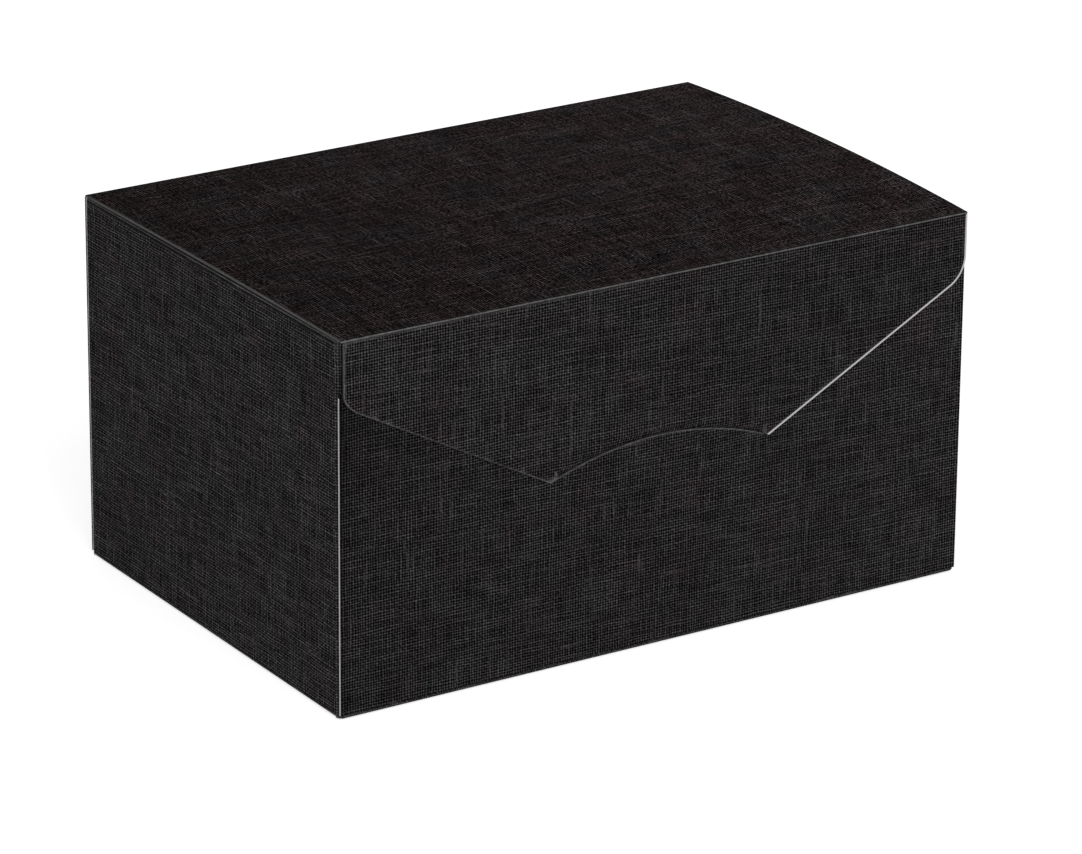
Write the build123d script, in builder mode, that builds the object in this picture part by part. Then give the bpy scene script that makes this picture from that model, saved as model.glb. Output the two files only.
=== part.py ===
"""Hinged-lid folding carton with a lock-tip closure flap, in millimetres.

The carton is one die-cut sheet of linen-embossed board. Each panel between two
scored folds is one piece, and each fold is a piece of its own. The front faces
-Y, +X is to its right, +Z is up, and the origin is the middle of the base.
"""
from build123d import *
from math import asin, atan2, cos, degrees, radians, sin
import os

# ---- Driving dimensions -------------------------------------------------
BOX_WIDTH = 250.0         # X, across the front
BOX_DEPTH = 172.0         # Y, face of the closure flap to face of the back
BOX_HEIGHT = 133.0        # Z, floor to the top of the lid's two folds
BOARD = 0.8               # thickness of the board
FOLD_INSIDE = 0.8         # inside radius of a fold that stays at a right angle
HINGE_GAP = 0.05          # between a hinge fold and the panel that turns on it
LAYER_GAP = 0.2           # between the front wall and the flap lying over it
LID_GAP = 0.1             # between the lid and the dust flaps under it
LID_PLAY = 0.6            # each side of the lid stays this far inside the walls
LID_RISE = 2.5            # height of the lid's bow above its two folds

WALL_INSET = 0.4          # front and back walls stop this far inside the sides
FRONT_CORNER_DROP = 20.0  # the front wall's upper corners are cut back
FRONT_CORNER_RUN = 14.0
FRONT_TOP_DROP = 1.0      # top of the front wall below the box height

TAB_WIDTH = 25.0          # glue tab, beyond its fold
TAB_TAPER = 5.0           # slope of each end of a tab over its width
TAB_FOOT = 2.6            # lower end of a tab and its fold above the floor

DUST_REACH = 62.0         # a dust flap's reach in under the lid
DUST_END_GAP = 1.4        # each end of its root clears the walls' folds
DUST_FRONT_SLOPE = 6.0    # its ends draw in by this much over its reach
DUST_BACK_SLOPE = 30.0
DUST_CORNER = 9.0         # radius of its free corners

FLAP_CORNER_DROP = 22.7   # where the flap's sides would meet its slants
FLAP_CORNER = 12.0        # radius there
FLAP_TIP_DROP = 65.5      # the flap's two lowest points
FLAP_TIP_HALF = 43.7
SHOULDER_DROP = 63.2      # where each shoulder meets the lock tip
SHOULDER_HALF = 40.5
RELIEF_CUT = 0.4          # frees each side of the lock tip from its shoulder

SLOT_TOP_DROP = 56.6      # crown of the slot's arched lower lip
SLOT_END_DROP = 64.9      # its two ends
SLOT_HALF = 42.0
SLOT_HEIGHT = 5.0
BEND_CLEARANCE = 0.1      # the lock tip's bend stays this far inside the slot
TIP_REACH = 12.0          # the lock tip hangs this far below the lip
TIP_CLEARANCE = 0.2       # between the lock tip and the back of the front wall

# ---- Places worked out from them ----------------------------------------
HALF_BOARD = BOARD / 2
FOLD_OUTSIDE = FOLD_INSIDE + BOARD
HINGE_REACH = HALF_BOARD + HINGE_GAP         # hinge axis to a panel's edge

SIDE_X = BOX_WIDTH / 2                       # outside of a side wall
FLAP_Y = -BOX_DEPTH / 2                      # face of the flap
FRONT_Y = FLAP_Y + BOARD + LAYER_GAP         # face of the front wall
BACK_Y = BOX_DEPTH / 2                       # face of the back wall
FRONT_TAB_Y = FRONT_Y + BOARD                # outside of the front tabs
BACK_TAB_Y = BACK_Y - BOARD                  # outside of the back tabs
WALL_HALF = SIDE_X - WALL_INSET

HINGE_Z = BOX_HEIGHT - HALF_BOARD            # level of the lid's two folds
LID_AXIS_Y = BACK_Y - HALF_BOARD
FLAP_AXIS_Y = FLAP_Y + HALF_BOARD
PANEL_TOP = HINGE_Z - HINGE_REACH            # panels that hang from those folds
LID_HALF = SIDE_X - LID_PLAY

DUST_AXIS_X = SIDE_X - HALF_BOARD
DUST_AXIS_Z = BOX_HEIGHT - BOARD - LID_GAP - HALF_BOARD
SIDE_TOP = DUST_AXIS_Z - HINGE_REACH

FLOOR_HALF = SIDE_X - FOLD_OUTSIDE           # flat parts of the base and sides
FLOOR_FRONT = FRONT_Y + FOLD_OUTSIDE
FLOOR_BACK = BACK_Y - FOLD_OUTSIDE
SIDE_FRONT = FRONT_TAB_Y + FOLD_OUTSIDE
SIDE_BACK = BACK_TAB_Y - FOLD_OUTSIDE

# The slot's lower lip is an arc about a level axis that runs front to back.
LIP_SAG = SLOT_END_DROP - SLOT_TOP_DROP
LIP_RADIUS = (SLOT_HALF**2 + LIP_SAG**2) / (2 * LIP_SAG)
LIP_CENTRE_Z = BOX_HEIGHT - SLOT_TOP_DROP - LIP_RADIUS
SLOT_ANGLE = degrees(asin(SLOT_HALF / LIP_RADIUS))
SHOULDER_ANGLE = degrees(atan2(SHOULDER_HALF, BOX_HEIGHT - SHOULDER_DROP - LIP_CENTRE_Z))
TIP_ANGLE = SHOULDER_ANGLE - degrees(RELIEF_CUT / LIP_RADIUS)
BEND_START = LIP_RADIUS + SLOT_HEIGHT - BEND_CLEARANCE
BEND_END = LIP_RADIUS + BEND_CLEARANCE

LINEN = Color(0.04, 0.04, 0.042)
FOLDED = Color(0.25, 0.25, 0.25)


def front_plane(y):
    """The plane of something that faces the front, at a given Y."""
    return Plane.XZ.offset(-y)


def on_lip(radius, angle):
    """X and Z of a point about the lip's centre, at an angle from straight up."""
    turn = radians(angle)
    return (radius * sin(turn), LIP_CENTRE_Z + radius * cos(turn))


def save(part, name, color=LINEN):
    """Label one finished piece and write its file."""
    part.label = name
    part.color = color
    export_step(part, f"parts/{name}.step")


def make_sheet(plane, points, thickness=BOARD):
    """A flat panel whose outline is straight between its corners."""
    with BuildPart() as sheet:
        with BuildSketch(plane):
            with BuildLine():
                Polyline(*points, close=True)
            make_face()
        extrude(amount=thickness)
    return sheet.part


def make_square_fold(plane, centre, start_angle, length):
    """A quarter ring of board along a fold that stays at a right angle."""
    with BuildPart() as fold:
        with BuildSketch(plane):
            with BuildLine():
                outside = CenterArc(centre, FOLD_OUTSIDE, start_angle, 90)
                inside = CenterArc(centre, FOLD_INSIDE, start_angle, 90)
                Line(outside @ 0, inside @ 0)
                Line(outside @ 1, inside @ 1)
            make_face()
        extrude(amount=length)
    return fold.part


def make_hinge_fold(plane, centre, web_angle, length):
    """A round-backed bead on a hinge axis, joined to the panel that holds it."""
    with BuildPart() as fold:
        with BuildSketch(plane):
            with Locations(centre):
                Circle(HALF_BOARD)
                Rectangle(HINGE_REACH, BOARD, web_angle, align=(Align.MIN, Align.CENTER))
        extrude(amount=length)
    return fold.part


os.makedirs("parts", exist_ok=True)

# ---- Base and its four folds --------------------------------------------
with BuildPart() as base_panel:
    with BuildSketch():
        with Locations((0, (FLOOR_FRONT + FLOOR_BACK) / 2)):
            Rectangle(2 * FLOOR_HALF, FLOOR_BACK - FLOOR_FRONT)
    extrude(amount=BOARD)
save(base_panel.part, "base_panel")

for name, y, start_angle in (("front", FLOOR_FRONT, 180), ("back", FLOOR_BACK, 270)):
    across = Plane.YZ.offset(-FLOOR_HALF)
    fold = make_square_fold(across, (y, FOLD_OUTSIDE), start_angle, 2 * FLOOR_HALF)
    save(fold, f"base_{name}_fold", FOLDED)

for name, side, start_angle in (("left", -1, 180), ("right", 1, 270)):
    along = front_plane(SIDE_BACK)
    centre = (side * FLOOR_HALF, FOLD_OUTSIDE)
    fold = make_square_fold(along, centre, start_angle, SIDE_BACK - SIDE_FRONT)
    save(fold, f"base_{name}_fold", FOLDED)

# ---- Front wall, with the arched slot for the lock tip --------------------
with BuildPart() as front_wall:
    with BuildSketch(front_plane(FRONT_TAB_Y)):
        with BuildLine():
            Polyline(
                (0, FOLD_OUTSIDE),
                (WALL_HALF, FOLD_OUTSIDE),
                (WALL_HALF, BOX_HEIGHT - FRONT_CORNER_DROP),
                (WALL_HALF - FRONT_CORNER_RUN, BOX_HEIGHT - FRONT_TOP_DROP),
                (0, BOX_HEIGHT - FRONT_TOP_DROP),
            )
            mirror(about=Plane.YZ)
        make_face()
        with BuildLine():
            slot_radii = (LIP_RADIUS, LIP_RADIUS + SLOT_HEIGHT)
            for radius in slot_radii:
                left, middle, right = [on_lip(radius, a) for a in (-SLOT_ANGLE, 0, SLOT_ANGLE)]
                ThreePointArc(left, middle, right)
            for angle in (-SLOT_ANGLE, SLOT_ANGLE):
                Line(*[on_lip(radius, angle) for radius in slot_radii])
        make_face(mode=Mode.SUBTRACT)
    extrude(amount=BOARD)
save(front_wall.part, "front_wall")

# ---- Back wall ------------------------------------------------------------
with BuildPart() as back_wall:
    with BuildSketch(front_plane(BACK_Y)):
        with Locations((0, (FOLD_OUTSIDE + PANEL_TOP) / 2)):
            Rectangle(2 * WALL_HALF, PANEL_TOP - FOLD_OUTSIDE)
    extrude(amount=BOARD)
save(back_wall.part, "back_wall")

# ---- Side walls, each with a glue tab at its front and its back -----------
for name, side in (("left", -1), ("right", 1)):
    wall_outline = [
        (SIDE_FRONT, FOLD_OUTSIDE),
        (SIDE_BACK, FOLD_OUTSIDE),
        (SIDE_BACK, SIDE_TOP),
        (SIDE_FRONT, SIDE_TOP),
    ]
    wall = make_sheet(Plane.YZ.offset(side * SIDE_X), wall_outline, -side * BOARD)
    save(wall, f"{name}_wall")

    root = side * FLOOR_HALF
    free_edge = side * (FLOOR_HALF - TAB_WIDTH)
    tab_outline = [
        (root, TAB_FOOT),
        (free_edge, TAB_FOOT + TAB_TAPER),
        (free_edge, SIDE_TOP - TAB_TAPER),
        (root, SIDE_TOP),
    ]
    save(make_sheet(front_plane(FRONT_TAB_Y), tab_outline, -BOARD), f"{name}_front_tab")
    save(make_sheet(front_plane(BACK_TAB_Y), tab_outline, BOARD), f"{name}_back_tab")

    floor_of_folds = Plane.XY.offset(TAB_FOOT)
    fold_height = SIDE_TOP - TAB_FOOT
    front_angle = 180 if side < 0 else 270
    back_angle = 90 if side < 0 else 0
    front_fold = make_square_fold(floor_of_folds, (root, SIDE_FRONT), front_angle, fold_height)
    back_fold = make_square_fold(floor_of_folds, (root, SIDE_BACK), back_angle, fold_height)
    save(front_fold, f"{name}_front_fold", FOLDED)
    save(back_fold, f"{name}_back_fold", FOLDED)

# ---- Dust flaps, hinged on the side walls and tucked in under the lid -----
DUST_FRONT = SIDE_FRONT + DUST_END_GAP
DUST_BACK = SIDE_BACK - DUST_END_GAP

for name, side in (("left", -1), ("right", 1)):
    root = side * (DUST_AXIS_X - HINGE_REACH)
    free_edge = side * (DUST_AXIS_X - DUST_REACH)
    with BuildPart() as dust_flap:
        with BuildSketch(Plane.XY.offset(DUST_AXIS_Z - HALF_BOARD)):
            with BuildLine():
                FilletPolyline(
                    (root, DUST_FRONT),
                    (free_edge, DUST_FRONT + DUST_FRONT_SLOPE),
                    (free_edge, DUST_BACK - DUST_BACK_SLOPE),
                    (root, DUST_BACK),
                    radius=DUST_CORNER,
                )
                Line((root, DUST_BACK), (root, DUST_FRONT))
            make_face()
        extrude(amount=BOARD)
    save(dust_flap.part, f"{name}_dust_flap")

    centre = (side * DUST_AXIS_X, DUST_AXIS_Z)
    dust_fold = make_hinge_fold(front_plane(DUST_BACK), centre, 270, DUST_BACK - DUST_FRONT)
    save(dust_fold, f"{name}_dust_fold", FOLDED)

# ---- Lid, bowed gently from its back fold to its front fold ---------------
with BuildPart() as lid_panel:
    with BuildSketch(Plane.YZ):
        with BuildLine():
            front_edge = FLAP_AXIS_Y + HINGE_REACH
            back_edge = LID_AXIS_Y - HINGE_REACH
            crown_y = (front_edge + back_edge) / 2
            for z in (HINGE_Z - HALF_BOARD, HINGE_Z + HALF_BOARD):
                ThreePointArc((front_edge, z), (crown_y, z + LID_RISE), (back_edge, z))
            for y in (front_edge, back_edge):
                Line((y, HINGE_Z - HALF_BOARD), (y, HINGE_Z + HALF_BOARD))
        make_face()
    extrude(amount=LID_HALF, both=True)
save(lid_panel.part, "lid_panel")

hinge_start = Plane.YZ.offset(-LID_HALF)
lid_fold = make_hinge_fold(hinge_start, (LID_AXIS_Y, HINGE_Z), 270, 2 * LID_HALF)
save(lid_fold, "lid_fold", FOLDED)
flap_fold = make_hinge_fold(hinge_start, (FLAP_AXIS_Y, HINGE_Z), 0, 2 * LID_HALF)
save(flap_fold, "flap_fold", FOLDED)

# ---- Closure flap: straight sides, round corners, slants to two tips -----
with BuildPart() as closure_flap:
    with BuildSketch(front_plane(FLAP_Y + BOARD)):
        with BuildLine():
            slant = FilletPolyline(
                (LID_HALF, PANEL_TOP),
                (LID_HALF, BOX_HEIGHT - FLAP_CORNER_DROP),
                (FLAP_TIP_HALF, BOX_HEIGHT - FLAP_TIP_DROP),
                radius=FLAP_CORNER,
            )
            shoulder = (SHOULDER_HALF, BOX_HEIGHT - SHOULDER_DROP)
            relief = on_lip(BEND_START, SHOULDER_ANGLE)
            Polyline(slant @ 1, shoulder, relief)
            ThreePointArc(relief, on_lip(BEND_START, SHOULDER_ANGLE / 2), on_lip(BEND_START, 0))
            Line((LID_HALF, PANEL_TOP), (0, PANEL_TOP))
            mirror(about=Plane.YZ)
        make_face()
    extrude(amount=BOARD)
save(closure_flap.part, "closure_flap")

# ---- Lock tip: bends in through the slot and hangs behind the lip ---------
half_turn = radians(TIP_ANGLE)
tip_edge = Plane(
    origin=(0, 0, LIP_CENTRE_Z),
    x_dir=(0, 1, 0),
    z_dir=(cos(half_turn), 0, sin(half_turn)),
)
outer_y = FLAP_Y + HALF_BOARD
inner_y = FRONT_TAB_Y + TIP_CLEARANCE + HALF_BOARD
with BuildPart() as lock_tip:
    with BuildSketch(tip_edge):
        with BuildLine():
            middle = ((outer_y + inner_y) / 2, (BEND_START + BEND_END) / 2)
            inward = TangentArc((outer_y, BEND_START), middle, tangent=(0, -1))
            TangentArc(middle, (inner_y, BEND_END), tangent=inward % 1)
            Line((inner_y, BEND_END), (inner_y, LIP_RADIUS - TIP_REACH))
        trace(line_width=BOARD)
    arc_axis = Axis((0, 0, LIP_CENTRE_Z), (0, 1, 0))
    revolve(axis=arc_axis, revolution_arc=2 * TIP_ANGLE)
save(lock_tip.part, "lock_tip")
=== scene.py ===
"""Looks of the hinged-lid folding carton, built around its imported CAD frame, in metres.

The carton is one die-cut sheet, black linen-embossed outside and white inside. The black
has smeared over most of its cut edges, but the front wall's side edges and a margin along
the flap's right side are pale. Each panel is a board of its own, with its real thickness,
and each fold is a strip or a bead of the same sheet.
"""

from dataclasses import dataclass
from math import asin, atan2, ceil, cos, exp, hypot, log, pi, radians, sin, tan

import bpy
import numpy as np
from mathutils import Matrix, Vector
from mathutils.geometry import delaunay_2d_cdt


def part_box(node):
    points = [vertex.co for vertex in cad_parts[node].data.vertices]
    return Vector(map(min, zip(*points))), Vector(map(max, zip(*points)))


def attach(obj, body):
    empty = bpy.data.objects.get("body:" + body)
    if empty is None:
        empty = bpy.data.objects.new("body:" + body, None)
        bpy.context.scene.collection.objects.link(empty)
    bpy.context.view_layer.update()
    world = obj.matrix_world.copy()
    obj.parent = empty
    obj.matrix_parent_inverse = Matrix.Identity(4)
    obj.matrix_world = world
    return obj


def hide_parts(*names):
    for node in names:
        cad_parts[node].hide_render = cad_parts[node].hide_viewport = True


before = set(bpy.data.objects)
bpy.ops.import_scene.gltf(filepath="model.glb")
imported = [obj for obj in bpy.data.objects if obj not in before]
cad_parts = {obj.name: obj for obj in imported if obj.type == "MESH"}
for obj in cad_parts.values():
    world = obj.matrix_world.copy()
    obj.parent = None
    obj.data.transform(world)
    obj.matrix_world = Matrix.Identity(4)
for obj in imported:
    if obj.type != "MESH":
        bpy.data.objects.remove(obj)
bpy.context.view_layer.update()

# ---- The sheet, as the part's source has it -------------------------------
BOARD = 0.0008            # thickness
HALF_BOARD = BOARD / 2
FOLD_INSIDE = 0.0008      # radii of a fold that stays at a right angle
FOLD_OUTSIDE = FOLD_INSIDE + BOARD
THREAD = 0.001            # pitch of the embossed threads

FRONT_CORNER_DROP = 0.020
FRONT_CORNER_RUN = 0.014
TAB_TAPER = 0.005
DUST_FRONT_SLOPE = 0.006
DUST_BACK_SLOPE = 0.030
DUST_CORNER = 0.009
LID_RISE = 0.0025

FLAP_CORNER_DROP = 0.0227
FLAP_CORNER = 0.012
FLAP_TIP_HALF = 0.0437
SLOT_TOP_DROP = 0.0566
SLOT_END_DROP = 0.0649
SLOT_HALF = 0.042
SLOT_HEIGHT = 0.005
TIP_REACH = 0.012

# ---- Shapes that only the looks have, all inside the CAD box --------------
CORNER_FOOT = 0.0004      # the corner folds come down to this, and close the base's corners
CORNER_HEAD = 0.0008      # and stand this far over the side walls, close under the lid
DUST_FOLD_REACH = 0.0014  # the dust folds are this much longer at each end than their nodes
LEFT_RISE = 0.2           # share of the rise that the lid keeps at its left edge
FLAP_LEFT_INSET = 0.0011  # the flap is cut back this far on its left
SHOULDER_DROP = 0.0641
SHOULDER_HALF = 0.0413
RELIEF_CUT = 0.0001
BARE_MARGIN = 0.0007      # pale strip that the black layer leaves on the flap's right side
LIP_BULGE = 0.0009        # the lip of the slot is pushed out this far by the lock tip
LIP_BULGE_DEPTH = 0.014   # and eases back to the flat wall over about this
TIP_SETBACK = 0.002       # the lock tip ends this far behind the face of the flap
TIP_CLEARANCE = 0.0001    # and is this far behind the wall's face where it passes the lip
BEND_HEIGHT = 0.0022      # the lock tip starts to bend in this far above the lip
WALL_BOW = 0.0005         # side and back walls bow in this far at their middle
WEB_OVERLAP = 0.00005     # a bead's web runs this far into its panel

# ---- Places from the frame ------------------------------------------------
FLAP_LOW, FLAP_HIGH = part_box("closure_flap")
WALL_LOW, WALL_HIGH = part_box("front_wall")
LID_LOW, LID_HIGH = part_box("lid_panel")
BOX_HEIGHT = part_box("lid_fold")[1].z

LIP_SAG = SLOT_END_DROP - SLOT_TOP_DROP
LIP_RADIUS = (SLOT_HALF**2 + LIP_SAG**2) / (2 * LIP_SAG)
LIP_CENTRE_Z = BOX_HEIGHT - SLOT_TOP_DROP - LIP_RADIUS
SLOT_ANGLE = asin(SLOT_HALF / LIP_RADIUS)
SHOULDER_ANGLE = atan2(SHOULDER_HALF, BOX_HEIGHT - SHOULDER_DROP - LIP_CENTRE_Z)
TIP_ANGLE = SHOULDER_ANGLE - RELIEF_CUT / LIP_RADIUS

ALONG_X, ALONG_Y, UP, DOWN = (1, 0, 0), (0, 1, 0), (0, 0, 1), (0, 0, -1)
SIDES = (("left", -1), ("right", 1))
ENDS = (("front", -1), ("back", 1))

# ---- How finely a board is divided ----------------------------------------
EDGE_STEP = 0.003
GRID_STEP = 0.004
FLAP_GRID_STEP = 0.003
RUB_RINGS = (0.00025, 0.0006)   # rubbed edges fade out across these
RUB_WIDTH = RUB_RINGS[-1]
ARC_STEP = radians(6)
FOLD_TURNS = 8            # sides of a quarter-turn fold
BEAD_TURNS = 14           # sides of a bead's half turn
SMOOTH_BELOW = radians(35)
TINY = 0.00001            # closer than this is the same place

# ---- Colours ---------------------------------------------------------------
# Painted shade and painted highlight of the emboss: the black is painted nearly black in the gaps
# between threads and lighter on their tops.
SHADED_GAP_BLACK = (0.0006, 0.0005, 0.0005, 1.0)
LIT_THREAD_BLACK = (0.066, 0.0635, 0.064, 1.0)
WARM_TINT = (1.0, 0.88, 0.90, 1.0)
COOL_TINT = (0.93, 0.985, 0.98, 1.0)
BROWN_TINT = (1.0, 0.74, 0.75, 1.0)
RUBBED_GREY = (0.14, 0.137, 0.135, 1.0)
WHITE_INSIDE = (0.74, 0.74, 0.72, 1.0)
INKED_CORE = (0.065, 0.063, 0.062, 1.0)    # a cut edge that the black layer has smeared over
CLEAN_CORE = (0.42, 0.41, 0.40, 1.0)
PALE_MARGIN = (0.44, 0.43, 0.42, 1.0)

# ---- The emboss and the bare board, with rates in changes per thread ------
# Rates are across and along a thread, or along and up the sheet. Levels are the values of
# the noise where its effect starts and is whole.
EMBOSS_DEPTH = 0.00005    # metres
WANDER_RATES = (0.3, 0.09)
RIDGE_POWER = 1.3
BOLD_ALONG = 0.07         # how fast one thread's boldness changes
BOLD_LEVELS = (0.32, 0.68)
BOLD_HEIGHTS = (0.5, 0.98)    # of the weakest and strongest threads
DIPPED = 0.55             # share of a thread's height left where it dips under another
STREAK_RATES = (1.5, 0.05)
SLUB_LEVELS = (0.66, 0.78)
SLUB_HEIGHT = 0.65
RUN_LEVELS = (0.45, 0.7)
SHADE_POWER = 1.2
GRAIN_RATES, GRAIN_LEVELS = (1.05, 0.9), (0.3, 0.7)
PATCH_RATES, PATCH_LEVELS = (0.04, 0.04), (0.35, 0.65)
HUE_RATES, HUE_LEVELS = (0.05, 0.05), (0.38, 0.62)
BREAK_RATES, BREAK_LEVELS = (0.5, 0.5), (0.3, 0.7)
LEAST_WORN = 0.35         # share of the wear that is left between the breaks
GAP_ROUGHNESS, THREAD_ROUGHNESS = 0.85, 0.6
BOARD_SPECULAR = 0.3
CLOUD_RATES, CLOUD_LEVELS = (0.08, 0.08), (0.35, 0.65)
CLOUD_SHARE = 0.6         # the rest of the board's mottling is its fibres
FIBRE_RATES = (1.5, 5.0)

# ---- How rubbed the edges are, from 0 to 1, and the black's painted shading ----
LIP_RUB = 0.9
BACK_WALL_RUB = 0.2
SIDE_WALL_RUB = 0.12
DUST_FLAP_RUB = 0.3
LID_BACK_RUB, LID_LEFT_RUB, LID_RUB = 0.15, 0.9, 0.3
FLAP_LEFT_RUB, FLAP_RIGHT_RUB = 0.3, 0.05
# Painted shading: each panel's black is painted lighter or darker from one side to the other, for
# the way light falls on it.
FRONT_WALL_PAINTED_SHADING = (0.92, 1.08)   # at its left and right
SIDE_WALL_PAINTED_SHADING = (1.04, 0.92)    # at its front and back
LID_PAINTED_SHADING = (0.82, 1.2)           # at its left and right
FLAP_PAINTED_SHADING = (1.12, 0.92)         # at its left and right


# ---- Node materials -------------------------------------------------------
class Graph:
    """A material's node tree, with short calls for the nodes used here."""

    def __init__(self, name, specular):
        self.material = bpy.data.materials.new(name)
        self.material.use_nodes = True
        self.tree = self.material.node_tree
        self.shader = self.tree.nodes["Principled BSDF"]
        self.shader.inputs["Specular IOR Level"].default_value = specular

    def feed(self, socket, value):
        if isinstance(value, bpy.types.NodeSocket):
            self.tree.links.new(value, socket)
        else:
            socket.default_value = value

    def node(self, kind, values=(), **settings):
        made = self.tree.nodes.new(kind)
        for key, value in settings.items():
            setattr(made, key, value)
        for socket, value in zip(made.inputs, values):
            self.feed(socket, value)
        return made

    def math(self, operation, *values):
        return self.node("ShaderNodeMath", values, operation=operation).outputs[0]

    def times(self, first, *others):
        """The product of two or more values."""
        for other in others:
            first = self.math("MULTIPLY", first, other)
        return first

    def noise(self, u, v, seed, detail=1.0):
        """Smooth noise of about 0 to 1, with features one unit of u and v across."""
        where = self.node("ShaderNodeCombineXYZ", (u, v, seed)).outputs[0]
        texture = self.node("ShaderNodeTexNoise", noise_dimensions="3D")
        self.feed(texture.inputs["Vector"], where)
        texture.inputs["Scale"].default_value = 1.0
        texture.inputs["Detail"].default_value = detail
        return texture.outputs[0]

    def rated_noise(self, u, v, rates, seed, detail=1.0):
        """The same noise, with u and v first multiplied by the two rates."""
        return self.noise(self.times(u, rates[0]), self.times(v, rates[1]), seed, detail)

    def stretch(self, value, levels, to=(0.0, 1.0)):
        """The value moved from between two levels to between two others, and kept there."""
        return self.node("ShaderNodeMapRange", (value, *levels, *to)).outputs[0]

    def mix_colors(self, share, first, second, **settings):
        made = self.node("ShaderNodeMix", data_type="RGBA", **settings)
        for place, value in zip((0, 6, 7), (share, first, second)):
            self.feed(made.inputs[place], value)
        return made.outputs[2]

    def multiply_colors(self, first, second):
        return self.mix_colors(1.0, first, second, blend_type="MULTIPLY")

    def attribute(self, name):
        return self.node("ShaderNodeAttribute", attribute_name=name).outputs["Fac"]

    def sheet_position(self, unit):
        """Where a point lies on the flat sheet, along and up it, in the given unit."""
        uv = self.node("ShaderNodeUVMap", uv_map="sheet").outputs[0]
        parts = self.node("ShaderNodeSeparateXYZ", (uv,)).outputs
        return [self.math("DIVIDE", part, unit) for part in parts[:2]]

    def finish(self, color, roughness, height, height_scale):
        """The material, with bumps as high as the scale where height is 1."""
        self.feed(self.shader.inputs["Base Color"], color)
        self.feed(self.shader.inputs["Roughness"], roughness)
        bump = self.node("ShaderNodeBump")
        bump.inputs["Strength"].default_value = 1.0
        bump.inputs["Distance"].default_value = height_scale
        self.feed(bump.inputs["Height"], height)
        self.feed(self.shader.inputs["Normal"], bump.outputs[0])
        return self.material


def threads(graph, across, along, seed):
    """One set of embossed threads: 0 in the gaps, up to 1 on the boldest threads."""
    wander = graph.rated_noise(across, along, WANDER_RATES, seed)
    shifted = graph.math("ADD", across, wander)
    wave = graph.math("COSINE", graph.times(shifted, 2 * pi))
    ridge = graph.math("POWER", graph.stretch(wave, (-1.0, 1.0)), RIDGE_POWER)

    boldness = graph.noise(shifted, graph.times(along, BOLD_ALONG), seed + 11.3)
    strength = graph.stretch(boldness, BOLD_LEVELS, BOLD_HEIGHTS)

    # Each thread dips under every second crossing one, out of step with its neighbour.
    parity = graph.times(graph.math("FLOOR", shifted), pi)
    crossing = graph.math("ADD", graph.times(along, pi), parity)
    over = graph.stretch(graph.math("SINE", crossing), (-1.0, 1.0), (DIPPED, 1.0))
    return graph.times(ridge, strength, over)


def streaks(graph, across, along, seed, levels):
    """Single threads that stand out for 10 to 30 mm, rarer as the two levels go up."""
    return graph.stretch(graph.rated_noise(across, along, STREAK_RATES, seed), levels)


def both_ways(graph, u, v, seed, levels):
    """Streaks along the sheet and up it."""
    along = streaks(graph, v, u, seed, levels)
    up = streaks(graph, u, v, seed + 26.2, levels)
    return graph.math("MAXIMUM", along, up)


def emboss_height(graph, u, v, floor, crown):
    """Two crossing sets of threads, and the slubs that stand out among them."""
    warp = threads(graph, u, v, seed=3.7)
    weft = threads(graph, v, u, seed=31.9)
    weave = graph.stretch(graph.math("ADD", warp, weft), (floor, crown))
    slubs = both_ways(graph, u, v, seed=57.1, levels=SLUB_LEVELS)
    return graph.math("MAXIMUM", weave, graph.times(slubs, SLUB_HEIGHT))


def unevenness(graph, u, v, fibre, streak, cloud):
    """How much lighter or darker than its average the black is at each place."""
    fine = graph.rated_noise(u, v, GRAIN_RATES, seed=71.0)
    grain = graph.stretch(fine, GRAIN_LEVELS, (1 - fibre, 1 + fibre))
    runs = both_ways(graph, u, v, seed=40.6, levels=RUN_LEVELS)
    bolder = graph.stretch(runs, (0.0, 1.0), (1 - streak / 2, 1 + streak))
    patches = graph.rated_noise(u, v, PATCH_RATES, seed=5.0)
    clouds = graph.stretch(patches, PATCH_LEVELS, (1 - cloud, 1 + cloud))
    return graph.times(grain, bolder, clouds)


def linen_material(name, floor, crown, fibre, streak, cloud, tints, specular, lightness):
    """Black linen emboss: crossing threads, bold slubs, and edges rubbed lighter. Painted shade
    in the gaps and painted highlights on the threads make the black darker and lighter there.

    floor and crown are the sums of two threads' heights at the bottom of a gap and the top
    of a crossing. fibre is how strongly the fine grain shows, streak how strongly single
    threads differ, and cloud how uneven the black is from place to place. tints are the two
    hues that the black drifts between. lightness is painted light: it makes a copy lighter, to
    make up for the sheen that a low specular takes.
    """
    graph = Graph(name, specular)
    u, v = graph.sheet_position(THREAD)
    height = emboss_height(graph, u, v, floor, crown)
    # Painted shade in the gaps and painted highlight on the threads, by the emboss's height.
    shade = graph.mix_colors(graph.math("POWER", height, SHADE_POWER), SHADED_GAP_BLACK, LIT_THREAD_BLACK)

    uneven = unevenness(graph, u, v, fibre, streak, cloud)
    # The black's random unevenness, times its painted shading for the way light falls, times the
    # copy's painted lightness.
    level = graph.times(uneven, graph.attribute("tone"), lightness)
    gray = graph.node("ShaderNodeCombineColor", (level, level, level)).outputs[0]
    shade = graph.multiply_colors(shade, gray)
    hues = graph.rated_noise(u, v, HUE_RATES, seed=15.0, detail=2.0)
    tint = graph.mix_colors(graph.stretch(hues, HUE_LEVELS), *tints)
    shade = graph.multiply_colors(shade, tint)

    breaks = graph.rated_noise(u, v, BREAK_RATES, seed=9.0, detail=2.0)
    wear = graph.stretch(breaks, BREAK_LEVELS, (LEAST_WORN, 1.0))
    color = graph.mix_colors(graph.times(graph.attribute("rub"), wear), shade, RUBBED_GREY)
    roughness = graph.stretch(height, (0.0, 1.0), (GAP_ROUGHNESS, THREAD_ROUGHNESS))
    return graph.finish(color, roughness, height, EMBOSS_DEPTH)


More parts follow.
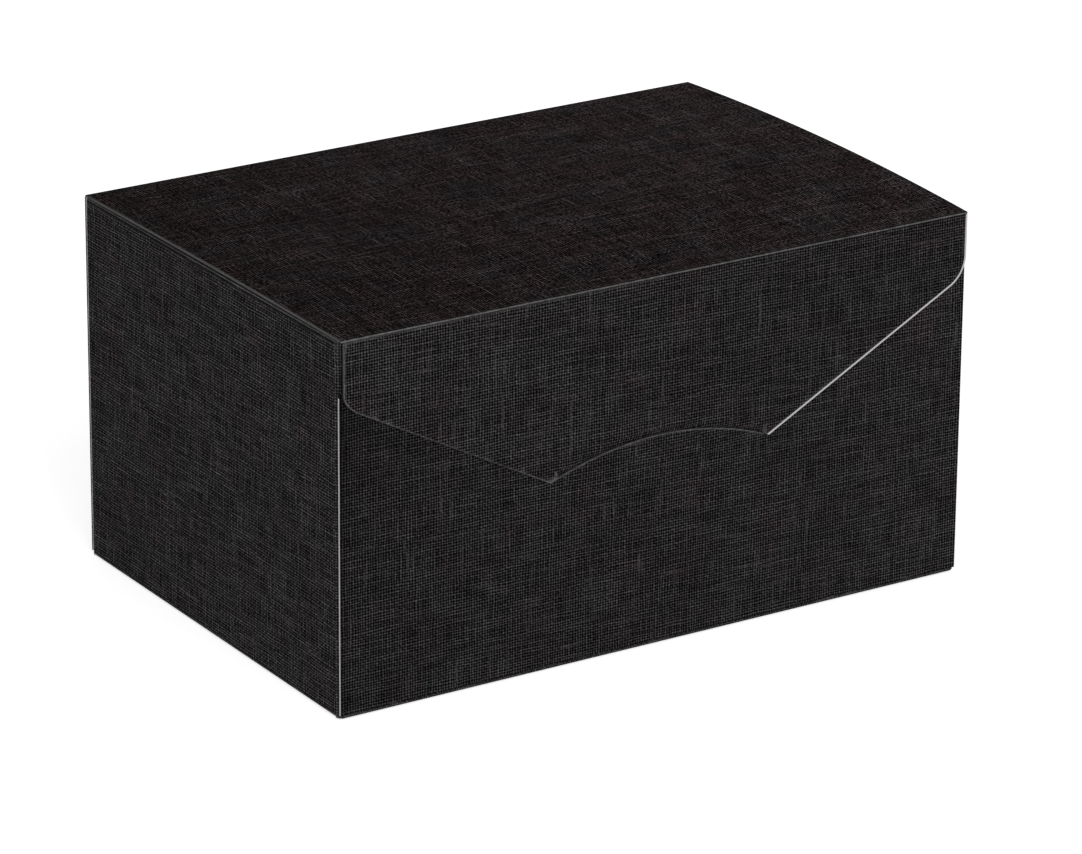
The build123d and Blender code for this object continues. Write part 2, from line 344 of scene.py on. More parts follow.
def board_material(name, color, mottle, fibre, roughness):
    """Uncoated or clay-coated white board: faint cloudiness and paper fibre.

    mottle is how dark the clouds are as a share of the colour, and fibre the height of the
    paper's grain in metres.
    """
    graph = Graph(name, BOARD_SPECULAR)
    u, v = graph.sheet_position(THREAD)
    clouds = graph.rated_noise(u, v, CLOUD_RATES, seed=2.0, detail=4.0)
    grain = graph.rated_noise(u, v, FIBRE_RATES, seed=6.0, detail=3.0)
    cloudy, fibrous = graph.times(clouds, CLOUD_SHARE), graph.times(grain, 1 - CLOUD_SHARE)
    mottling = graph.stretch(graph.math("ADD", cloudy, fibrous), CLOUD_LEVELS)
    darker = tuple(c * mottle for c in color[:3]) + (1.0,)
    shade = graph.mix_colors(mottling, darker, color)
    return graph.finish(shade, roughness, grain, fibre)


# Three copies of one black linen, with contrast, specular and painted lightness set for how light
# falls on each part.
LINEN = linen_material(
    "black_linen", floor=0.34, crown=1.12, fibre=0.5, streak=0.12, cloud=0.06,
    tints=(WARM_TINT, COOL_TINT), specular=0.03, lightness=0.99,
)
SIDE_LINEN = linen_material(
    "black_linen_sides", floor=0.42, crown=1.1, fibre=0.6, streak=0.2, cloud=0.04,
    tints=(WARM_TINT, COOL_TINT), specular=0.015, lightness=1.22,
)
LID_LINEN = linen_material(
    "black_linen_lid", floor=0.36, crown=1.1, fibre=1.0, streak=0.8, cloud=0.1,
    tints=(BROWN_TINT, WARM_TINT), specular=0.005, lightness=1.36,
)
BACKING_MATERIALS = (
    board_material("white_inside", WHITE_INSIDE, mottle=0.93, fibre=0.00001, roughness=0.5),
    board_material("cut_edge", INKED_CORE, mottle=0.6, fibre=0.00003, roughness=0.85),
    board_material("clean_cut_edge", CLEAN_CORE, mottle=0.8, fibre=0.00003, roughness=0.85),
    board_material("bare_margin", PALE_MARGIN, mottle=0.92, fibre=0.00001, roughness=0.6),
)
# A face's material: a linen, then the four above.
OUTER, INNER, CUT, CLEAN_CUT, BARE = range(5)


# ---- How rubbed the black is, and where its painted shade falls -----------
def fading(distance, reach):
    """1 at a place, falling off away from it."""
    return exp(-distance / reach)


def bell(distance, reach):
    """1 at a place, with a flat top and soft sides."""
    return exp(-((distance / reach) ** 2))


def between(start, end, share):
    return start + (end - start) * share


def corner_rub(share):
    """Folds are rubbed hardest at their two ends."""
    return 0.05 + 0.2 * fading(min(share, 1 - share), 0.02)


def side_fold_rub(share):
    """The folds at the sides are rubbed most a third of the way back."""
    return 0.8 + 0.6 * bell(share - 0.3, 0.22)


def front_fold_rub(share):
    """The fold over the front is rubbed hardest near its left end."""
    return 0.95 + 0.6 * fading(share, 0.1) + 0.4 * fading(1 - share, 0.03)


# ---- Outlines on the flat sheet -------------------------------------------
def round_corner(before, here, after, radius):
    """Points round a corner, for the directions from it to the corners beside it."""
    before = before / np.linalg.norm(before)
    after = after / np.linalg.norm(after)
    half_angle = np.arccos(np.clip(before @ after, -1, 1)) / 2
    bisector = (before + after) / np.linalg.norm(before + after)
    centre = here + bisector * radius / sin(half_angle)
    start = here + before * radius / tan(half_angle) - centre
    end = here + after * radius / tan(half_angle) - centre
    turn = pi - 2 * half_angle
    shares = [k / ceil(turn / ARC_STEP) for k in range(ceil(turn / ARC_STEP) + 1)]
    return [
        centre + (sin((1 - share) * turn) * start + sin(share * turn) * end) / sin(turn)
        for share in shares
    ]


def rounded(corners):
    """A closed loop from (u, v, radius) corners, with each corner rounded by its radius."""
    loop = []
    for i, (u, v, radius) in enumerate(corners):
        here = np.array((u, v))
        if radius == 0:
            loop.append(here)
            continue
        before = np.array(corners[i - 1][:2]) - here
        after = np.array(corners[(i + 1) % len(corners)][:2]) - here
        loop += round_corner(before, here, after, radius)
    return loop


def rectangle(u_low, v_low, u_high, v_high):
    return [(u_low, v_low), (u_high, v_low), (u_high, v_high), (u_low, v_high)]


def lip_arc(radius, start, end):
    """Points about the centre of the slot's lip, at angles from straight up."""
    count = ceil(abs(end - start) * radius / EDGE_STEP)
    angles = np.linspace(start, end, count + 1)
    return [(radius * sin(a), LIP_CENTRE_Z + radius * cos(a)) for a in angles]


def about_lip(x, z):
    """A point's distance from the centre of the slot's lip, and its angle from straight up."""
    return hypot(x, z - LIP_CENTRE_Z), atan2(x, z - LIP_CENTRE_Z)


def divided(loop):
    """The same closed loop with no side longer than EDGE_STEP."""
    points = []
    for i, start in enumerate(loop):
        start = np.array(start)
        end = np.array(loop[(i + 1) % len(loop)])
        count = max(1, ceil(np.linalg.norm(end - start) / EDGE_STEP))
        points += [start + (end - start) * k / count for k in range(count)]
    return np.array(points)


def inside_loop(points, loop):
    """True for each point inside the closed loop."""
    x, y = points[:, 0:1], points[:, 1:2]
    ends = np.roll(loop, -1, axis=0)
    x0, y0, x1, y1 = loop[:, 0], loop[:, 1], ends[:, 0], ends[:, 1]
    rise = np.where(y1 == y0, 1e-12, y1 - y0)
    crosses = ((y0 > y) != (y1 > y)) & (x < (x1 - x0) * (y - y0) / rise + x0)
    return crosses.sum(axis=1) % 2 == 1


def distance_to(points, line, closed=True):
    """Distance of each point from a line of straight sides."""
    starts = line if closed else line[:-1]
    ends = np.roll(line, -1, axis=0) if closed else line[1:]
    sides = ends - starts
    from_start = points[:, None, :] - starts[None]
    along = (from_start * sides).sum(axis=2) / np.maximum((sides**2).sum(axis=1), 1e-18)
    nearest = from_start - np.clip(along, 0, 1)[..., None] * sides
    return np.sqrt((nearest**2).sum(axis=2)).min(axis=1)


def offset_points(loop, distance):
    """The loop's points moved to both sides of it by a distance."""
    tangent = np.roll(loop, -1, axis=0) - np.roll(loop, 1, axis=0)
    tangent /= np.linalg.norm(tangent, axis=1)[:, None]
    normal = np.stack((-tangent[:, 1], tangent[:, 0]), axis=1)
    return np.concatenate((loop + normal * distance, loop - normal * distance))


class Outline:
    """A board's closed outline and its holes, on the flat sheet.

    bare_line is the part of the outline that has a bare margin beside it.
    """

    def __init__(self, loop, holes=(), bare_line=None):
        self.loops = [divided(loop)] + [divided(hole) for hole in holes]
        self.bare_line = bare_line

    def contains(self, points):
        kept = inside_loop(points, self.loops[0])
        for hole in self.loops[1:]:
            kept &= ~inside_loop(points, hole)
        return kept

    def distance(self, points):
        return np.min([distance_to(points, loop) for loop in self.loops], axis=0)

    def inner_points(self, grid_step):
        """Rings of points close to every edge, then a grid over the rest."""
        found = []
        for ring in RUB_RINGS:
            points = np.concatenate([offset_points(loop, ring) for loop in self.loops])
            points = points[self.contains(points)]
            found.append(points[self.distance(points) > ring * 0.97])
        low, high = self.loops[0].min(axis=0), self.loops[0].max(axis=0)
        counts = np.ceil((high - low) / grid_step).astype(int)
        axes = [np.linspace(a, b, n + 1)[1:-1] for a, b, n in zip(low, high, counts)]
        grid = np.stack(np.meshgrid(*axes), axis=-1).reshape(-1, 2)
        grid = grid[self.contains(grid)]
        found.append(grid[self.distance(grid) > RUB_WIDTH + grid_step * 0.25])
        return np.concatenate(found)

    def margin_line(self):
        """The inner side of the bare margin, run on past the outline at its end."""
        tangent = np.gradient(self.bare_line, axis=0)
        tangent /= np.linalg.norm(tangent, axis=1)[:, None]
        inward = np.stack((tangent[:, 1], -tangent[:, 0]), axis=1)
        line = self.bare_line + inward * BARE_MARGIN
        return np.concatenate((line, line[-1:] + tangent[-1:] * BARE_MARGIN))

    def fixed_lines(self):
        """(lines, edges): the lines whose sides the triangles have to keep."""
        lines, edges, first = list(self.loops), [], 0
        for loop in self.loops:
            count = len(loop)
            edges += [(first + i, first + (i + 1) % count) for i in range(count)]
            first += count
        if self.bare_line is not None:
            lines.append(self.margin_line())
            edges += [(first + i, first + i + 1) for i in range(len(lines[-1]) - 1)]
        return lines, edges

    def triangles(self, grid_step):
        """(points, triangles) that fill the outline and keep every side of it."""
        lines, edges = self.fixed_lines()
        points = np.concatenate((*lines, self.inner_points(grid_step)))
        made = delaunay_2d_cdt([Vector(p) for p in points], edges, [], 0, 1e-7)
        points = np.array([tuple(p) for p in made[0]])
        faces = np.array([tuple(f) for f in made[2]])
        faces = faces[self.contains(points[faces].mean(axis=1))]
        used, faces = np.unique(faces, return_inverse=True)
        return points[used], faces.reshape(-1, 3)

    def face_materials(self, flat, triangles):
        """Linen for each outer face, or bare board within the margin."""
        if self.bare_line is None:
            return [OUTER] * len(triangles)
        middles = flat[triangles].mean(axis=1)
        near = distance_to(middles, self.bare_line, closed=False) < BARE_MARGIN
        return [BARE if n else OUTER for n in near]


# ---- Boards, strips and beads ---------------------------------------------
@dataclass
class Skin:
    """What a piece's mesh is made from."""

    points: list
    faces: list
    materials: list       # one of OUTER to BARE for each face
    places: list          # where each point lies on the flat sheet
    rub: list             # how worn the black is at each point
    tone: list            # painted shading: how much lighter or darker the black is painted at each point
    linen: bpy.types.Material


def make_piece(name, skin, body, nodes):
    """One mesh piece that rides on its body in place of its CAD nodes."""
    mesh = bpy.data.meshes.new(name)
    mesh.from_pydata([tuple(p) for p in skin.points], [], [tuple(f) for f in skin.faces])
    for material in (skin.linen, *BACKING_MATERIALS):
        mesh.materials.append(material)
    mesh.polygons.foreach_set("material_index", skin.materials)
    mesh.polygons.foreach_set("use_smooth", [True] * len(mesh.polygons))
    mesh.set_sharp_from_angle(angle=SMOOTH_BELOW)
    layer = mesh.uv_layers.new(name="sheet")
    corners = np.array([l.vertex_index for l in mesh.loops])
    layer.data.foreach_set("uv", np.array(skin.places)[corners].ravel())
    # Rubbed wear, and the painted shading that makes the black lighter or darker for the way
    # light falls.
    for attribute_name, values in (("rub", skin.rub), ("tone", skin.tone)):
        attribute = mesh.attributes.new(attribute_name, "FLOAT", "POINT")
        attribute.data.foreach_set("value", values)
    mesh.update()
    piece = bpy.data.objects.new(name, mesh)
    bpy.context.scene.collection.objects.link(piece)
    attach(piece, body)
    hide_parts(*nodes)


def turned_out(triangles, outer, inner):
    """The triangles, each turned to face away from the board's inner side."""
    a, b, c = (outer[triangles[:, i]] for i in range(3))
    out = (outer - inner)[triangles[:, 0]]
    turned = (np.cross(b - a, c - a) * out).sum(axis=1) < 0
    triangles[turned] = triangles[turned][:, ::-1]
    return triangles


def rim_of(triangles):
    """The sides that only one triangle has, as that triangle runs along them."""
    sides = {(face[i], face[(i + 1) % 3]): None for face in triangles for i in range(3)}
    return [(i, j) for i, j in sides if (j, i) not in sides]


def make_board(node, outline, place, body, shift, nodes=(), side=lambda u, v: CUT,
               rub=lambda u, v: 0.0, tone=lambda u, v: 1.0, linen=LINEN, grid_step=GRID_STEP):
    """A board over an outline, in place of its own node and any others.

    place gives each sheet point's outer and inner position. side gives the material of a side at
    a sheet point, and rub how worn its edge is there. The last function gives the painted
    shading:
    how much lighter or darker the black is painted at a sheet point, for the way light falls
    there.
    shift is where the board lies on the flat sheet, so that no two boards repeat the same
    threads.
    """
    flat, triangles = outline.triangles(grid_step)
    placed = [place(u, v) for u, v in flat]
    outer = np.array([p[0] for p in placed])
    inner = np.array([p[1] for p in placed])
    triangles = turned_out(triangles, outer, inner)
    count = len(flat)

    faces = [tuple(t) for t in triangles]
    faces += [tuple(count + t[::-1]) for t in triangles]
    materials = outline.face_materials(flat, triangles) + [INNER] * len(triangles)
    for i, j in rim_of(triangles):
        faces.append((j, i, i + count, j + count))
        materials.append(side(*(flat[i] + flat[j]) / 2))

    fade = np.clip(1 - outline.distance(flat) / RUB_WIDTH, 0, 1)
    worn = fade * np.array([rub(u, v) for u, v in flat])
    levels = np.array([tone(u, v) for u, v in flat])
    skin = Skin(
        points=np.concatenate((outer, inner)),
        faces=faces,
        materials=materials,
        places=np.concatenate((flat, flat)) + np.array(shift),
        rub=np.concatenate((worn, worn * 0)),
        tone=np.concatenate((levels, levels)),
        linen=linen,
    )
    make_piece(f"{node}_board", skin, body, (node, *nodes))


def area_of(ring):
    """The area vector of a closed ring of points, along its right-handed axis."""
    middle = sum(ring, Vector()) / len(ring)
    arms = [point - middle for point in ring]
    return sum((arm.cross(arms[(i + 1) % len(arms)]) for i, arm in enumerate(arms)), Vector())


def make_strip(node, section, axis, start, length, body, shift, rub_at):
    """A fold: a closed section of (position, sheet v, material, wear) swept along an axis.

    rub_at says how rubbed the fold is at each share of its length, and wear what share of
    that each point of the section takes.
    """
    steps = ceil(length / EDGE_STEP)
    ring = len(section)
    axis = Vector(axis)
    points, places, rub = [], [], []
    for k in range(steps + 1):
        along = length * k / steps
        for position, v, _, wear in section:
            points.append(Vector(start) + position + axis * along)
            places.append((shift[0] + along, shift[1] + v))
            rub.append(rub_at(k / steps) * wear)
    faces, materials = [], []
    for k in range(steps):
        for i in range(ring):
            j = (i + 1) % ring
            faces.append((k * ring + i, k * ring + j, (k + 1) * ring + j, (k + 1) * ring + i))
            materials.append(section[i][2])
    faces += [tuple(range(ring))[::-1], tuple(steps * ring + i for i in range(ring))]
    materials += [OUTER, OUTER]
    # The section may turn either way about the axis, so the faces are set to look out.
    if area_of([corner[0] for corner in section]).dot(axis) < 0:
        faces = [f[::-1] for f in faces]
    skin = Skin(points, faces, materials, places, rub, [1.0] * len(points), SIDE_LINEN)
    make_piece(f"{node}_strip", skin, body, (node,))


def square_fold(node, axis, start, across, up, length, body, shift):
    """A quarter turn of the sheet about an axis, from facing away from across to away from up."""
    def arc(radius, material, wear):
        corners = []
        for k in range(FOLD_TURNS + 1):
            angle = pi / 2 * k / FOLD_TURNS
            away = -Vector(across) * cos(angle) - Vector(up) * sin(angle)
            corners.append((away * radius, radius * angle, material, wear))
        return corners

    section = arc(FOLD_OUTSIDE, OUTER, 1.0) + arc(FOLD_INSIDE, INNER, 0.0)[::-1]
    make_strip(node, section, axis, start, length, body, shift, corner_rub)


def hinge_bead(node, axis, start, web, length, body, shift, rub_at):
    """A round-backed bead on a hinge axis, with a short web to the panel that holds it."""
    reach = HALF_BOARD + WEB_OVERLAP
    web = Vector(web)
    side = Vector(axis).cross(web)
    section = [(web * reach + side * HALF_BOARD, 0.0, OUTER, 0.0)]
    for k in range(BEAD_TURNS + 1):
        angle = pi * k / BEAD_TURNS
        away = side * cos(angle) - web * sin(angle)
        section.append((away * HALF_BOARD, HALF_BOARD * angle, OUTER, sin(angle) ** 2))
    section.append((web * reach - side * HALF_BOARD, HALF_BOARD * pi, OUTER, 0.0))
    make_strip(node, section, axis, start, length, body, shift, rub_at)


# ---- The tray: base, walls, tabs and the folds between them ---------------
def bow(u, v, low_u, high_u, low_v, high_v):
    """0 at the panel's edges and 1 at its middle."""
    across = (u - low_u) / (high_u - low_u)
    up = (v - low_v) / (high_v - low_v)
    return 16 * across * (1 - across) * up * (1 - up)


def lip_bulge(x, z):
    """How far the front wall stands out, close below the lip of the slot."""
    radius, angle = about_lip(x, z)
    share = angle / SLOT_ANGLE
    depth = LIP_RADIUS - radius
    if abs(share) >= 1 or depth < -SLOT_HEIGHT / 2:
        return 0.0
    return LIP_BULGE * (1 - share**4) * bell(max(depth, 0), LIP_BULGE_DEPTH)


def front_wall():
    y = WALL_LOW.y
    left, right, bottom, top = WALL_LOW.x, WALL_HIGH.x, WALL_LOW.z, WALL_HIGH.z
    cut_z = BOX_HEIGHT - FRONT_CORNER_DROP
    loop = [
        (left, bottom), (right, bottom), (right, cut_z), (right - FRONT_CORNER_RUN, top),
        (left + FRONT_CORNER_RUN, top), (left, cut_z),
    ]
    slot = lip_arc(LIP_RADIUS, -SLOT_ANGLE, SLOT_ANGLE)
    slot += lip_arc(LIP_RADIUS + SLOT_HEIGHT, SLOT_ANGLE, -SLOT_ANGLE)

    def place(x, z):
        out = y - lip_bulge(x, z)
        return (x, out, z), (x, out + BOARD, z)

    def side(x, z):
        slanted = abs(x) > right - FRONT_CORNER_RUN and z > cut_z
        if z < bottom + TINY or slanted:
            return OUTER
        return CLEAN_CUT if abs(x) > right - TINY else CUT

    def rub(x, z):
        return LIP_RUB if abs(about_lip(x, z)[0] - LIP_RADIUS) < RUB_WIDTH else 0.0

    def tone(x, z):
        """Painted shading: lighter to the right, a painted shadow under the flap's left corner,
        and painted shade beside the fold.
        """
        across = (x - left) / (right - left)
        shadow_under_corner = 0.3 * bell(hypot(x - left, z - cut_z + 0.012), 0.022)
        shade_beside_fold = 0.5 * bell(x - left, 0.0008)
        return between(*FRONT_WALL_PAINTED_SHADING, across) - shadow_under_corner - shade_beside_fold

    make_board("front_wall", Outline(loop, [slot]), place, "tray", shift=(0.7, 0.1),
               side=side, rub=rub, tone=tone)


def back_wall():
    low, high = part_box("back_wall")

    def place(x, z):
        out = high.y - WALL_BOW * bow(x, z, low.x, high.x, low.z, high.z)
        return (x, out, z), (x, out - BOARD, z)

    make_board("back_wall", Outline(rectangle(low.x, low.z, high.x, high.z)), place, "tray",
               shift=(0.3, 0.9), side=lambda x, z: OUTER,
               rub=lambda x, z: BACK_WALL_RUB if z > high.z - RUB_WIDTH else 0.0)


def base():
    low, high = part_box("base_panel")
    make_board("base_panel", Outline(rectangle(low.x, low.y, high.x, high.y)),
               lambda x, y: ((x, y, low.z), (x, y, high.z)), "tray",
               shift=(0.2, 1.4), side=lambda x, y: OUTER)


def side_wall(name, side):
    low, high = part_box(f"{name}_wall")
    face = low.x if side < 0 else high.x

    def place(y, z):
        out = face - side * WALL_BOW * bow(y, z, low.y, high.y, low.z, high.z)
        return (out, y, z), (out - side * BOARD, y, z)

    # Painted shading: the side wall's black is painted lighter at its front and darker at its
    # back.
    make_board(f"{name}_wall", Outline(rectangle(low.y, low.z, high.y, high.z)), place, "tray",
               shift=(1.1 + 0.5 * side, 0.4), side=lambda y, z: OUTER, linen=SIDE_LINEN,
               tone=lambda y, z: between(*SIDE_WALL_PAINTED_SHADING, (y - low.y) / (high.y - low.y)),
               rub=lambda y, z: SIDE_WALL_RUB if z > high.z - RUB_WIDTH else 0.0)


def glue_tab(name, side, end, facing):
    node = f"{name}_{end}_tab"
    low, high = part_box(node)
    root, free = (low.x, high.x) if side < 0 else (high.x, low.x)
    outer, inner = (low.y, high.y) if facing < 0 else (high.y, low.y)
    loop = [(root, low.z), (free, low.z + TAB_TAPER), (free, high.z - TAB_TAPER), (root, high.z)]
    make_board(node, Outline(loop), lambda x, z: ((x, outer, z), (x, inner, z)), "tray",
               shift=(2.2 + 0.3 * side, 0.7 + outer),
               side=lambda x, z: OUTER if abs(x - root) < TINY else CUT)


def base_end_fold(end, facing):
    node = f"base_{end}_fold"
    low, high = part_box(node)
    start = (low.x, high.y if facing < 0 else low.y, FOLD_OUTSIDE)
    square_fold(node, ALONG_X, start, (0, -facing, 0), UP, high.x - low.x, "tray",
                shift=(0.4, 2.05 + 0.05 * facing))


def base_side_fold(name, side):
    node = f"base_{name}_fold"
    low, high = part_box(node)
    start = (high.x if side < 0 else low.x, low.y, FOLD_OUTSIDE)
    square_fold(node, ALONG_Y, start, (-side, 0, 0), UP, high.y - low.y, "tray",
                shift=(0.4, 2.2 + 0.05 * side))


def corner_fold(name, side, end, facing):
    node = f"{name}_{end}_fold"
    low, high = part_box(node)
    start = (high.x if side < 0 else low.x, high.y if facing < 0 else low.y, CORNER_FOOT)
    height = high.z + CORNER_HEAD - CORNER_FOOT
    square_fold(node, UP, start, (-side, 0, 0), (0, -facing, 0), height, "tray",
                shift=(0.9, 2.4 + 0.05 * side + 0.3 * facing))


def tray():
    front_wall()
    back_wall()
    base()
    for name, side in SIDES:
        side_wall(name, side)
    for name, side in SIDES:
        for end, facing in ENDS:
            glue_tab(name, side, end, facing)
    for end, facing in ENDS:
        base_end_fold(end, facing)
    for name, side in SIDES:
        base_side_fold(name, side)
        for end, facing in ENDS:
            corner_fold(name, side, end, facing)


# ---- What moves: dust flaps, lid and closure flap -------------------------
def dust_flap(name, side):
    node = f"{name}_dust_flap"
    low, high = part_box(node)
    root, free = (low.x, high.x) if side < 0 else (high.x, low.x)
    loop = rounded([
        (root, low.y, 0),
        (free, low.y + DUST_FRONT_SLOPE, DUST_CORNER),
        (free, high.y - DUST_BACK_SLOPE, DUST_CORNER),
        (root, high.y, 0),
    ])
    make_board(node, Outline(loop), lambda x, y: ((x, y, high.z), (x, y, low.z)),
               f"{name}_dust", shift=(3.1 + 0.4 * side, 0.2),
               side=lambda x, y: OUTER if abs(x - root) < TINY else CUT,
               rub=lambda x, y: DUST_FLAP_RUB)


def dust_fold(name, side):
    node = f"{name}_dust_fold"
    low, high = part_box(node)
    start = ((low.x + high.x) / 2, low.y - DUST_FOLD_REACH, high.z - HALF_BOARD)
    length = high.y - low.y + 2 * DUST_FOLD_REACH
    hinge_bead(node, ALONG_Y, start, DOWN, length, "tray",
               shift=(3.1 + 0.4 * side, 0.5), rub_at=side_fold_rub)


def lid():
    width = LID_HIGH.x - LID_LOW.x
    hinge_z = BOX_HEIGHT - HALF_BOARD
    half_depth = (LID_HIGH.y - LID_LOW.y) / 2
    middle_y = (LID_HIGH.y + LID_LOW.y) / 2
    radius = (half_depth**2 + LID_RISE**2) / (2 * LID_RISE)

    def rise(y):
        return (radius**2 - (y - middle_y) ** 2) ** 0.5 - radius + LID_RISE

    def place(x, y):
        z = hinge_z + rise(y) * between(LEFT_RISE, 1, (x - LID_LOW.x) / width)
        return (x, y, z + HALF_BOARD), (x, y, z - HALF_BOARD)

    def rub(x, y):
        if y > LID_HIGH.y - RUB_WIDTH:
            return LID_BACK_RUB
        return LID_LEFT_RUB if x < LID_LOW.x + RUB_WIDTH else LID_RUB

    # Painted shading: the lid's black is painted darker at its left and lighter at its right.
    make_board("lid_panel", Outline(rectangle(LID_LOW.x, LID_LOW.y, LID_HIGH.x, LID_HIGH.y)),
               place, "lid", shift=(0.0, BOX_HEIGHT - LID_LOW.y),
               side=lambda x, y: CUT if abs(x) > LID_HIGH.x - TINY else OUTER,
               rub=rub, linen=LID_LINEN,
               tone=lambda x, y: between(*LID_PAINTED_SHADING, (x - LID_LOW.x) / width))


def lid_folds():
    """The fold at the lid's front, which the flap hangs from, and the one at its back."""
    width = LID_HIGH.x - LID_LOW.x
    hinge_z = BOX_HEIGHT - HALF_BOARD
    front = (LID_LOW.x, FLAP_LOW.y + HALF_BOARD, hinge_z)
    back = (LID_LOW.x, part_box("back_wall")[1].y - HALF_BOARD, hinge_z)
    hinge_bead("flap_fold", ALONG_X, front, ALONG_Y, width, "lid",
               shift=(LID_LOW.x, BOX_HEIGHT), rub_at=front_fold_rub)
    hinge_bead("lid_fold", ALONG_X, back, DOWN, width, "tray",
               shift=(LID_LOW.x, 0.5), rub_at=corner_rub)


def flap_outline():
    """The flap with its lock tip. Its right side has the bare margin, from hinge to tip."""
    side, top = FLAP_HIGH.x, FLAP_HIGH.z
    corner_z = BOX_HEIGHT - FLAP_CORNER_DROP
    bend_radius = LIP_RADIUS + BEND_HEIGHT
    right = rounded([
        (side, top, 0),
        (side, corner_z, FLAP_CORNER),
        (FLAP_TIP_HALF, FLAP_LOW.z, 0),
    ])
    bare_line = np.array(right)
    right += [np.array((SHOULDER_HALF, BOX_HEIGHT - SHOULDER_DROP))]
    right += [np.array(p) for p in lip_arc(bend_radius, SHOULDER_ANGLE, TIP_ANGLE)]
    left = [np.array((max(-x, FLAP_LEFT_INSET - side), z)) for x, z in right[::-1]]
    tip = lip_arc(LIP_RADIUS - TIP_REACH, TIP_ANGLE, -TIP_ANGLE)
    return Outline(right + tip + left, bare_line=bare_line)


def tip_setback(x, z):
    """How far behind the flap's face the sheet lies, from the bend to the end of the tip."""
    radius, angle = about_lip(x, z)
    past_bend = LIP_RADIUS + BEND_HEIGHT - radius
    if past_bend <= 0 or abs(angle) > (SHOULDER_ANGLE + TIP_ANGLE) / 2:
        return 0.0
    bulge = LIP_BULGE * (1 - (angle / SLOT_ANGLE) ** 4)
    sharpness = log(TIP_SETBACK / (TIP_CLEARANCE + bulge))
    return TIP_SETBACK * (1 - exp(-sharpness * (past_bend / BEND_HEIGHT) ** 2))


def closure_flap():
    corner_z = BOX_HEIGHT - FLAP_CORNER_DROP

    def place(x, z):
        out = FLAP_LOW.y + tip_setback(x, z)
        return (x, out, z), (x, out + BOARD, z)

    def rub(x, z):
        """Hardest at the two tips and the left corner, and hardly at all on the right."""
        edge = FLAP_LEFT_RUB if x < 0 else FLAP_RIGHT_RUB
        at_tip = 0.7 * fading(hypot(abs(x) - FLAP_TIP_HALF, z - FLAP_LOW.z), 0.012)
        at_corner = 0.9 * fading(hypot(x + FLAP_HIGH.x, z - corner_z), 0.02)
        return edge + at_tip + at_corner

    # Painted shading: the flap's black is painted lighter at its left and darker at its right.
    make_board("closure_flap", flap_outline(), place, "flap", shift=(0.0, 0.0),
               nodes=("lock_tip",), rub=rub, grid_step=FLAP_GRID_STEP,
               side=lambda x, z: OUTER if z > FLAP_HIGH.z - TINY else CUT,
               tone=lambda x, z: between(*FLAP_PAINTED_SHADING, (x + FLAP_HIGH.x) / (2 * FLAP_HIGH.x)))


tray()
for name, side in SIDES:
    dust_flap(name, side)
    dust_fold(name, side)
lid()
lid_folds()
closure_flap()


# ---- Floor, light and camera ----------------------------------------------
WHITE = (1.0, 1.0, 1.0, 1.0)
HORIZON_LIGHT = 1.0       # the sky's strength low down and overhead
ZENITH_LIGHT = 0.12
LOW_SKY, HIGH_SKY = 0.05, 0.9
FLOOR_COLOR = (0.9, 0.9, 0.9, 1.0)
FLOOR_GLOW = 0.65         # the floor is lit from below too, as on a light table
FLOOR_HALF_SIZE = 6.0
FLOOR_GAP = 0.0002
AIM = Vector((0.0142, 0.0111, 0.0445))
CAMERA_AZIMUTH = radians(-32.65)
CAMERA_ELEVATION = radians(20.88)
CAMERA_ROLL = radians(0.46)
CAMERA_DISTANCE = 2.072
LENS = 196.7
SENSOR = 36.0
FARTHEST_SEEN = 50.0


def make_floor():
    size = FLOOR_HALF_SIZE
    mesh = bpy.data.meshes.new("floor")
    corners = [(x, y, -FLOOR_GAP) for x, y in rectangle(-size, -size, size, size)]
    mesh.from_pydata(corners, [], [(0, 1, 2, 3)])
    material = bpy.data.materials.new("floor")
    material.use_nodes = True
    inputs = material.node_tree.nodes["Principled BSDF"].inputs
    inputs["Base Color"].default_value = FLOOR_COLOR
    inputs["Roughness"].default_value = 0.9
    inputs["Specular IOR Level"].default_value = 0.0
    inputs["Emission Color"].default_value = WHITE
    inputs["Emission Strength"].default_value = FLOOR_GLOW
    mesh.materials.append(material)
    floor = bpy.data.objects.new("floor", mesh)
    bpy.context.scene.collection.objects.link(floor)


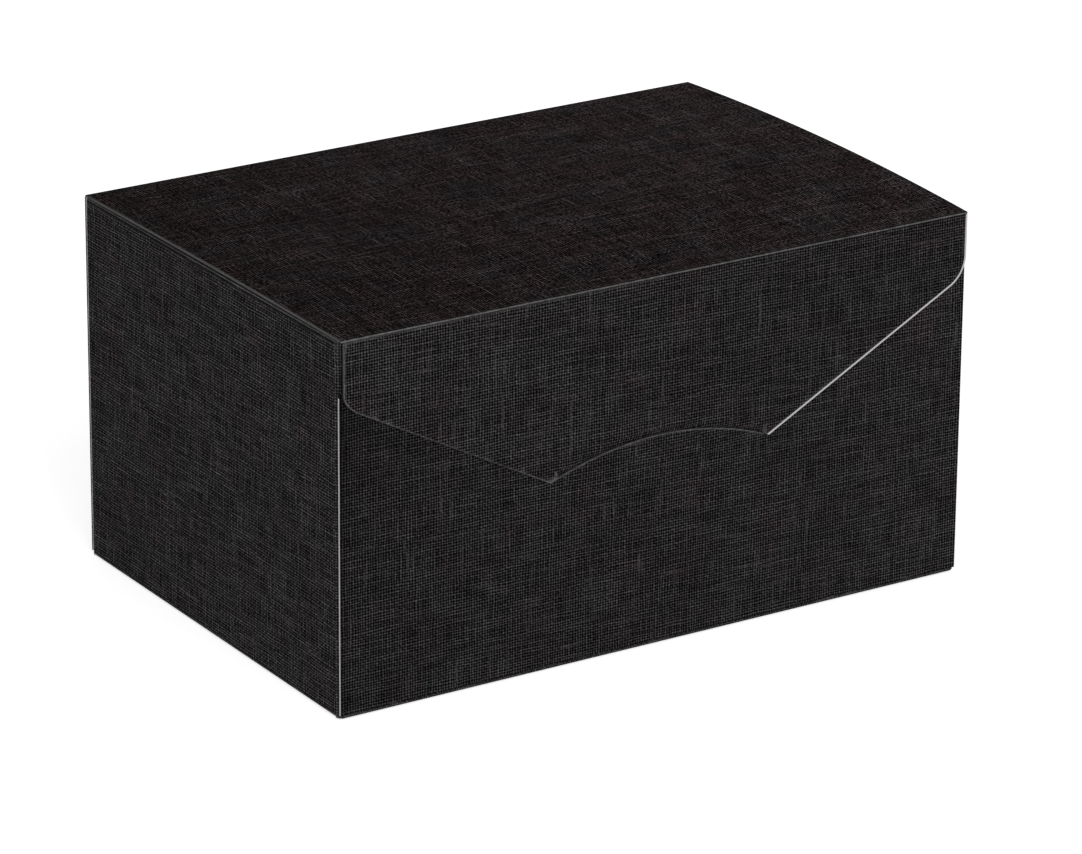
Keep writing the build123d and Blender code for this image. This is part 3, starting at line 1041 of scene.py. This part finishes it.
def direction(azimuth, elevation):
    """From the carton outwards: azimuth 0 is straight in front, and positive to the right."""
    return Vector((sin(azimuth) * cos(elevation), -cos(azimuth) * cos(elevation), sin(elevation)))


def make_light(name, azimuth, elevation, distance, size, power):
    """A square soft light that looks at the carton."""
    data = bpy.data.lights.new(name, "AREA")
    data.size = size
    data.energy = power
    light = bpy.data.objects.new(name, data)
    back = direction(azimuth, elevation)
    light.location = AIM + back * distance
    light.rotation_mode = "QUATERNION"
    light.rotation_quaternion = back.to_track_quat("Z", "Y")
    bpy.context.scene.collection.objects.link(light)


def make_camera():
    data = bpy.data.cameras.new("camera")
    data.lens = LENS
    data.sensor_width = SENSOR
    data.clip_end = FARTHEST_SEEN
    camera = bpy.data.objects.new("camera", data)
    back = direction(CAMERA_AZIMUTH, CAMERA_ELEVATION)
    right = Vector(UP).cross(back).normalized()
    up = back.cross(right)
    rolled = right * cos(CAMERA_ROLL) + up * sin(CAMERA_ROLL)
    turned = Matrix((rolled, back.cross(rolled), back)).transposed()
    camera.matrix_world = Matrix.Translation(AIM + back * CAMERA_DISTANCE) @ turned.to_4x4()
    bpy.context.scene.collection.objects.link(camera)
    bpy.context.scene.camera = camera


def make_world():
    """A white sky, bright at the horizon and dim overhead."""
    world = bpy.data.worlds.new("studio")
    world.use_nodes = True
    nodes, links = world.node_tree.nodes, world.node_tree.links
    coordinates = nodes.new("ShaderNodeTexCoord")
    parts = nodes.new("ShaderNodeSeparateXYZ")
    fade = nodes.new("ShaderNodeMapRange")
    levels = (LOW_SKY, HIGH_SKY, HORIZON_LIGHT, ZENITH_LIGHT)
    for place, value in zip((1, 2, 3, 4), levels):
        fade.inputs[place].default_value = value
    links.new(coordinates.outputs["Generated"], parts.inputs[0])
    links.new(parts.outputs["Z"], fade.inputs[0])
    links.new(fade.outputs[0], nodes["Background"].inputs["Strength"])
    nodes["Background"].inputs["Color"].default_value = WHITE
    bpy.context.scene.world = world


make_floor()
make_world()
make_light("key", radians(-20), radians(40), distance=2.5, size=1.6, power=20)
make_camera()
bpy.context.scene.view_settings.view_transform = "Standard"
